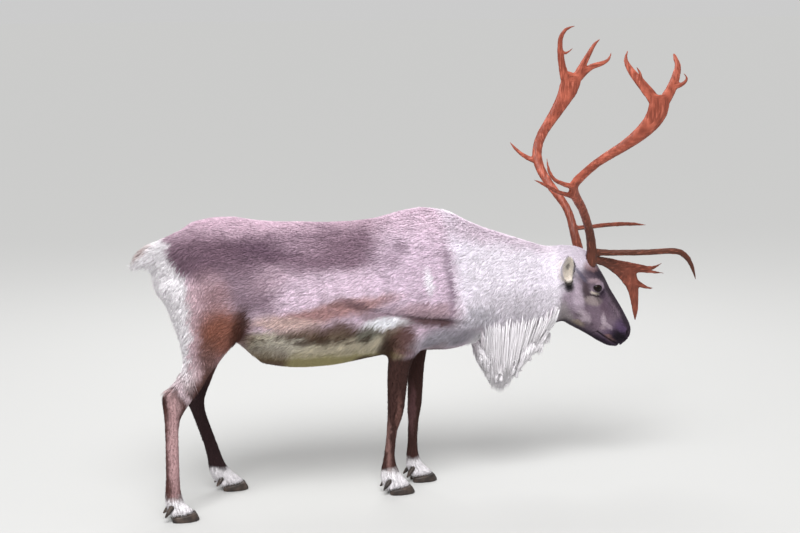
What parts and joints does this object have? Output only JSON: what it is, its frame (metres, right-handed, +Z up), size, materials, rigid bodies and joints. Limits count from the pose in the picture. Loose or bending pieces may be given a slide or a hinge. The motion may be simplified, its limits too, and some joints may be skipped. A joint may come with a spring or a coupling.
{
  "type": "reindeer",
  "caption": "Life-size standing reindeer bull with lowered head, branched antlers, throat beard and cloven hooves, as a still museum model.",
  "frame": {"origin": "centre of the footprint of the whole bounding box, on the floor under the hooves", "axes": "+X towards the nose, +Y to the animal's left, +Z up"},
  "size_m": [2.321, 0.7684, 1.8441],
  "materials": {
    "body_coat": "dense grey-brown hair",
    "pale_coat": "long off-white hair",
    "face_coat": "short dark hair",
    "leg_coat": "short brown hair",
    "antler": "hard antler, red-brown and dry",
    "hoof": "worn dark horn",
    "eye": "wet and dark"
  },
  "bodies": {
    "root": {"eye_right": "eye", "ear_right": "face_coat", "eye_left": "eye", "ear_left": "face_coat", "neck": "pale_coat", "torso": "body_coat", "tail": "pale_coat", "hoof_hind_right_outer": "hoof", "dewclaw_hind_right_outer": "hoof", "hoof_hind_right_inner": "hoof", "dewclaw_hind_right_inner": "hoof", "leg_hind_right_upper": "leg_coat", "leg_hind_right_lower": "leg_coat", "hoof_hind_left_inner": "hoof", "dewclaw_hind_left_inner": "hoof", "hoof_hind_left_outer": "hoof", "dewclaw_hind_left_outer": "hoof", "leg_hind_left_upper": "leg_coat", "leg_hind_left_lower": "leg_coat", "hoof_fore_right_outer": "hoof", "dewclaw_fore_right_outer": "hoof", "hoof_fore_right_inner": "hoof", "dewclaw_fore_right_inner": "hoof", "leg_fore_right_upper": "leg_coat", "leg_fore_right_lower": "leg_coat", "hoof_fore_left_inner": "hoof", "dewclaw_fore_left_inner": "hoof", "hoof_fore_left_outer": "hoof", "dewclaw_fore_left_outer": "hoof", "leg_fore_left_upper": "leg_coat", "leg_fore_left_lower": "leg_coat", "antler_right_beam": "antler", "antler_right_branch": "antler", "antler_right_palm": "antler", "antler_right_bez": "antler", "antler_right_brow": "antler", "antler_right_tine_a": "antler", "antler_right_tine_b": "antler", "antler_right_front_prong": "antler", "antler_right_rear_prong": "antler", "antler_left_beam": "antler", "antler_left_branch": "antler", "antler_left_palm": "antler", "antler_left_bez": "antler", "antler_left_brow": "antler", "antler_left_tine": "antler", "antler_left_front_prong": "antler", "antler_left_middle_prong": "antler", "antler_left_rear_prong": "antler", "head": "face_coat"}
  },
  "joints": []
}
